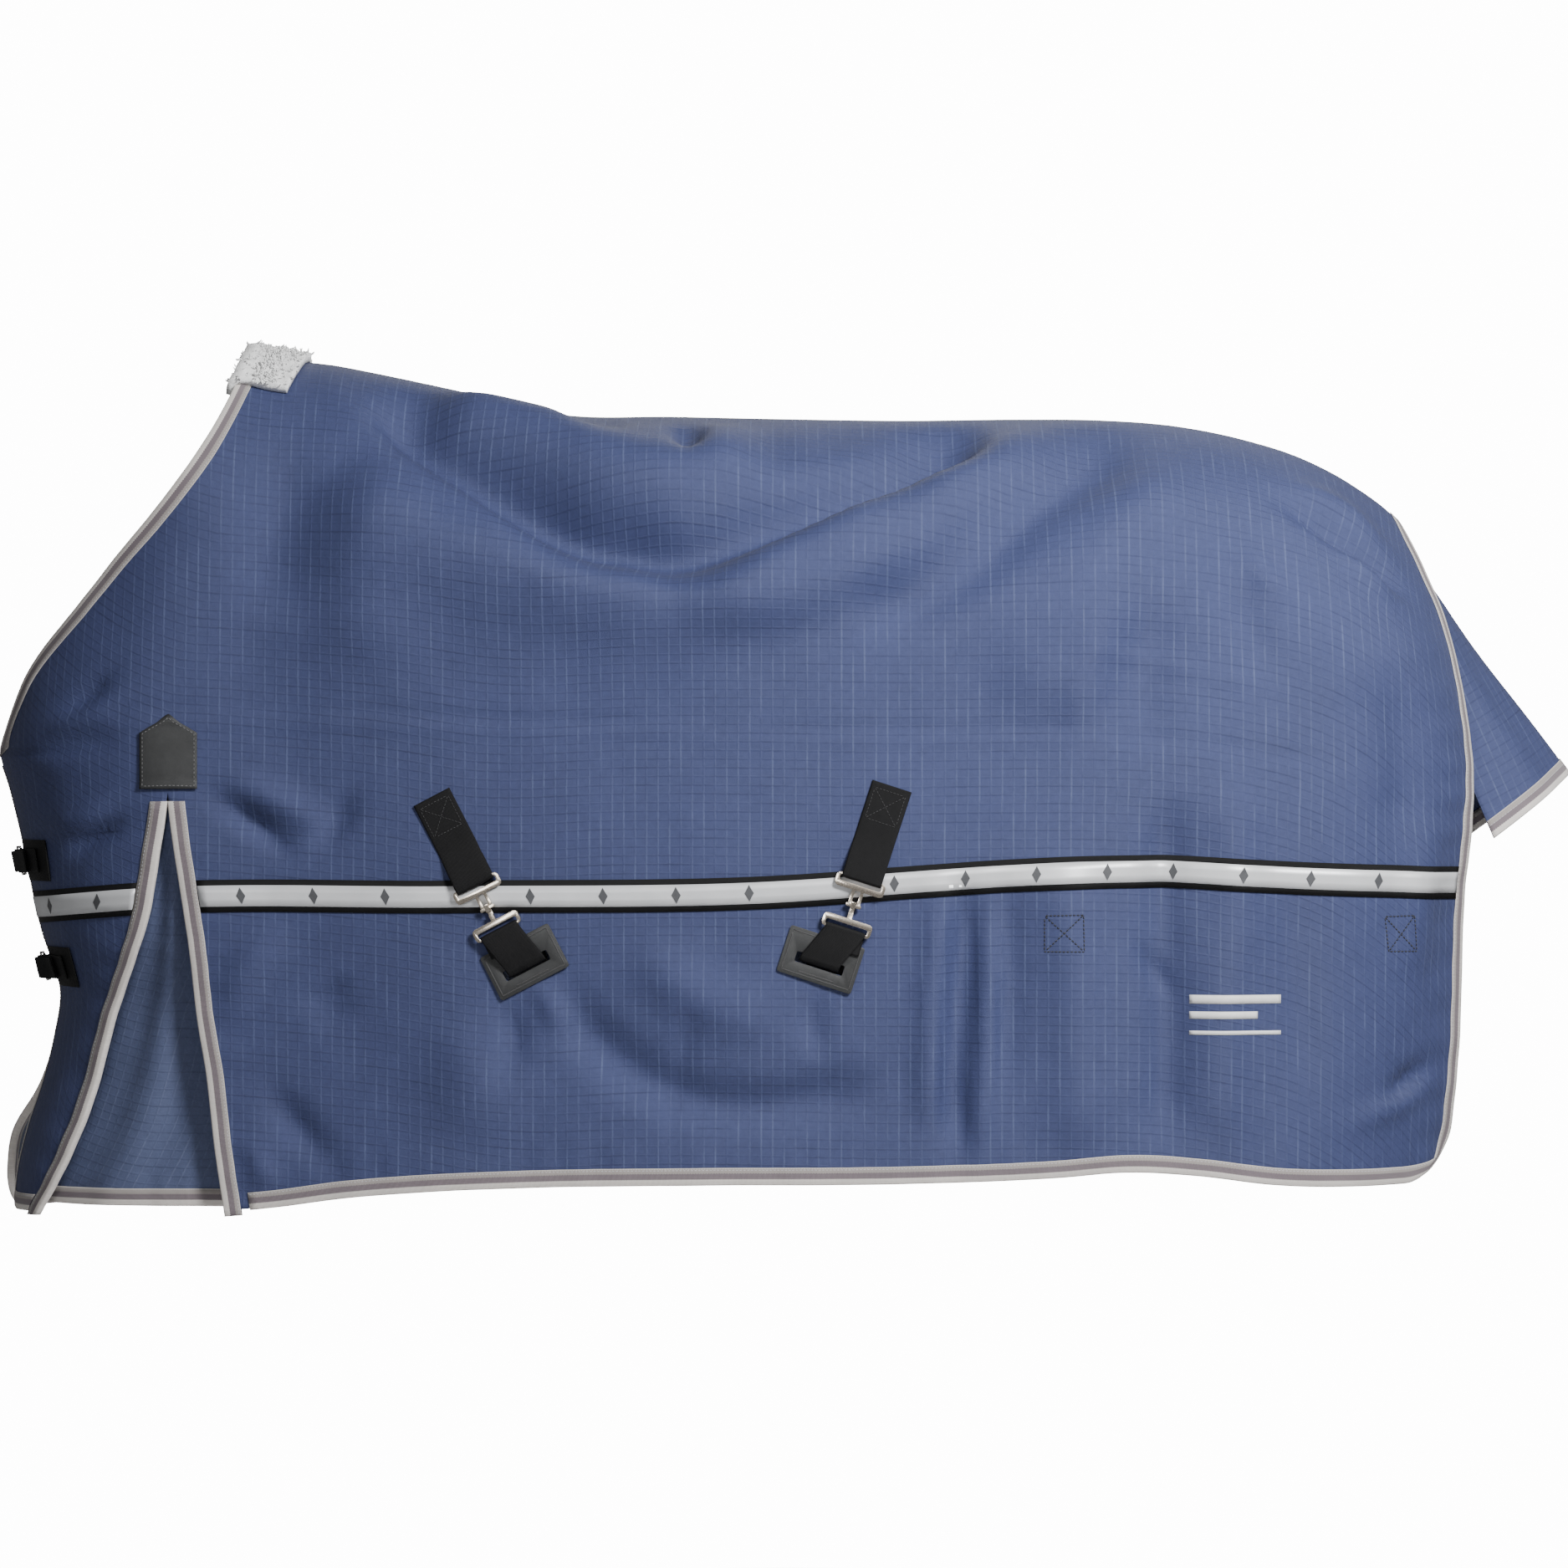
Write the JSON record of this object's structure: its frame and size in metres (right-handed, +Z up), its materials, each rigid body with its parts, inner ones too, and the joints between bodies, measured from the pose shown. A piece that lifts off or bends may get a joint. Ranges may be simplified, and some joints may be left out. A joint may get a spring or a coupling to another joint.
{
  "type": "horse turnout rug",
  "caption": "Turnout rug with bound edges, shoulder gussets, tail flap, reflective bands, chest buckles and crossed belly straps.",
  "frame": {"origin": "on the middle of the horse's back, on the centre line, directly under the lining", "axes": "+X from the chest to the tail, +Y to the horse's off (right) side, +Z up"},
  "size_m": [1.9858, 0.5606, 1.1015],
  "materials": {
    "shell_fabric": "ripstop weave, matt",
    "lining_fabric": "smooth lining, matt",
    "binding_tape": "woven grosgrain with light and plum stripes",
    "black_webbing": "flat woven webbing",
    "reflective_tape": "satin silver",
    "nickel": "polished, warm nickel",
    "leather_look": "smooth grain, soft sheen",
    "fleece": "fluffy pile"
  },
  "bodies": {
    "rug": {"outer_shell": "shell_fabric", "lining": "lining_fabric", "neck_binding": "binding_tape", "near_chest_binding": "binding_tape", "near_slit_front_binding": "binding_tape", "near_slit_rear_binding": "binding_tape", "near_hem_binding": "binding_tape", "near_front_band": "black_webbing", "near_rear_band": "black_webbing", "near_front_reflective_tape": "reflective_tape", "near_rear_reflective_tape": "reflective_tape", "near_shoulder_gusset": "shell_fabric", "near_gusset_hem_binding": "binding_tape", "near_slit_top_patch": "leather_look", "near_front_ring_tab": "black_webbing", "near_rear_ring_tab": "black_webbing", "off_chest_binding": "binding_tape", "off_slit_front_binding": "binding_tape", "off_slit_rear_binding": "binding_tape", "off_hem_binding": "binding_tape", "off_front_band": "black_webbing", "off_rear_band": "black_webbing", "off_front_reflective_tape": "reflective_tape", "off_rear_reflective_tape": "reflective_tape", "off_shoulder_gusset": "shell_fabric", "off_gusset_hem_binding": "binding_tape", "off_slit_top_patch": "leather_look", "off_front_ring_tab": "black_webbing", "off_rear_ring_tab": "black_webbing", "wither_fleece": "fleece", "front_belly_upper_strap": "black_webbing", "front_slot_patch": "leather_look", "front_belly_strap": "black_webbing", "rear_belly_upper_strap": "black_webbing", "rear_slot_patch": "leather_look", "rear_belly_strap": "black_webbing", "upper_chest_patch": "black_webbing", "upper_buckle_tab": "black_webbing", "upper_buckle_frame": "nickel", "upper_chest_strap": "black_webbing", "lower_chest_patch": "black_webbing", "lower_buckle_tab": "black_webbing", "lower_buckle_frame": "nickel", "lower_chest_strap": "black_webbing"},
    "tail_flap": {"tail_flap": "shell_fabric", "tail_flap_binding": "binding_tape"},
    "front_eye": {"front_eye_plate": "nickel"},
    "front_hook": {"front_hook_plate": "nickel"},
    "front_hook_strap": {"front_hook_strap": "black_webbing"},
    "rear_eye": {"rear_eye_plate": "nickel"},
    "rear_hook": {"rear_hook_plate": "nickel"},
    "rear_hook_strap": {"rear_hook_strap": "black_webbing"},
    "upper_prong": {"upper_buckle_prong": "nickel"},
    "lower_prong": {"lower_buckle_prong": "nickel"},
    "near_front_ring": {"near_front_leg_ring": "nickel"},
    "near_rear_ring": {"near_rear_leg_ring": "nickel"},
    "off_front_ring": {"off_front_leg_ring": "nickel"},
    "off_rear_ring": {"off_rear_leg_ring": "nickel"}
  },
  "joints": [
    {"name": "tail_flap_lift", "type": "hinge", "parent": "rug", "child": "tail_flap", "pos_m": [0.765, 0, -0.134], "axis": [0, -1, 0], "range_deg": [0, 16]},
    {"name": "front_eye_plate_swing", "type": "hinge", "parent": "rug", "child": "front_eye", "pos_m": [-0.37788, -0.2526, -0.57762], "axis": [-0.8806, 0.1202, -0.4584], "range_deg": [0, 20]},
    {"name": "front_hook_plate_swing", "type": "hinge", "parent": "front_eye", "child": "front_hook", "pos_m": [-0.3623, -0.25365, -0.60782], "axis": [-0.8806, 0.1202, -0.4584], "range_deg": [-20.01, 0]},
    {"name": "front_hook_strap_swing", "type": "hinge", "parent": "front_hook", "child": "front_hook_strap", "pos_m": [-0.34764, -0.25464, -0.63625], "axis": [-0.8806, 0.1202, -0.4584], "range_deg": [-12.01, 0]},
    {"name": "rear_eye_plate_swing", "type": "hinge", "parent": "rug", "child": "rear_eye", "pos_m": [0.09488, -0.28068, -0.57183], "axis": [-0.951, -0.0064, 0.309], "range_deg": [0, 20]},
    {"name": "rear_hook_plate_swing", "type": "hinge", "parent": "rear_eye", "child": "rear_hook", "pos_m": [0.08437, -0.27972, -0.60415], "axis": [-0.951, -0.0064, 0.309], "range_deg": [-20.01, 0]},
    {"name": "rear_hook_strap_swing", "type": "hinge", "parent": "rear_hook", "child": "rear_hook_strap", "pos_m": [0.07448, -0.27882, -0.63457], "axis": [-0.951, -0.0064, 0.309], "range_deg": [-12.01, 0]},
    {"name": "upper_prong_lift", "type": "hinge", "parent": "rug", "child": "upper_prong", "pos_m": [-0.96556, -0.022, -0.55271], "axis": [-0.201, 0, 0.9796], "range_deg": [0, 25]},
    {"name": "lower_prong_lift", "type": "hinge", "parent": "rug", "child": "lower_prong", "pos_m": [-0.93538, -0.022, -0.68603], "axis": [-0.2384, 0, 0.9712], "range_deg": [0, 25]},
    {"name": "near_front_ring_swing", "type": "hinge", "parent": "rug", "child": "near_front_ring", "pos_m": [0.34089, -0.2558, -0.66443], "axis": [1, 0.0088, 0], "range_deg": [0, 100]},
    {"name": "near_rear_ring_swing", "type": "hinge", "parent": "rug", "child": "near_rear_ring", "pos_m": [0.74951, -0.20287, -0.66746], "axis": [0.9087, 0.4174, 0], "range_deg": [0, 100]},
    {"name": "off_front_ring_swing", "type": "hinge", "parent": "rug", "child": "off_front_ring", "pos_m": [0.34089, 0.2558, -0.66443], "axis": [-1, 0.0088, 0], "range_deg": [0, 100]},
    {"name": "off_rear_ring_swing", "type": "hinge", "parent": "rug", "child": "off_rear_ring", "pos_m": [0.74951, 0.20287, -0.66746], "axis": [-0.9087, 0.4174, 0], "range_deg": [0, 100]}
  ],
  "couplings": [
    {"joint": "front_hook_plate_swing", "follows": "front_eye_plate_swing", "ratio": -1},
    {"joint": "front_hook_strap_swing", "follows": "front_eye_plate_swing", "ratio": -0.6},
    {"joint": "rear_hook_plate_swing", "follows": "rear_eye_plate_swing", "ratio": -1},
    {"joint": "rear_hook_strap_swing", "follows": "rear_eye_plate_swing", "ratio": -0.6}
  ]
}
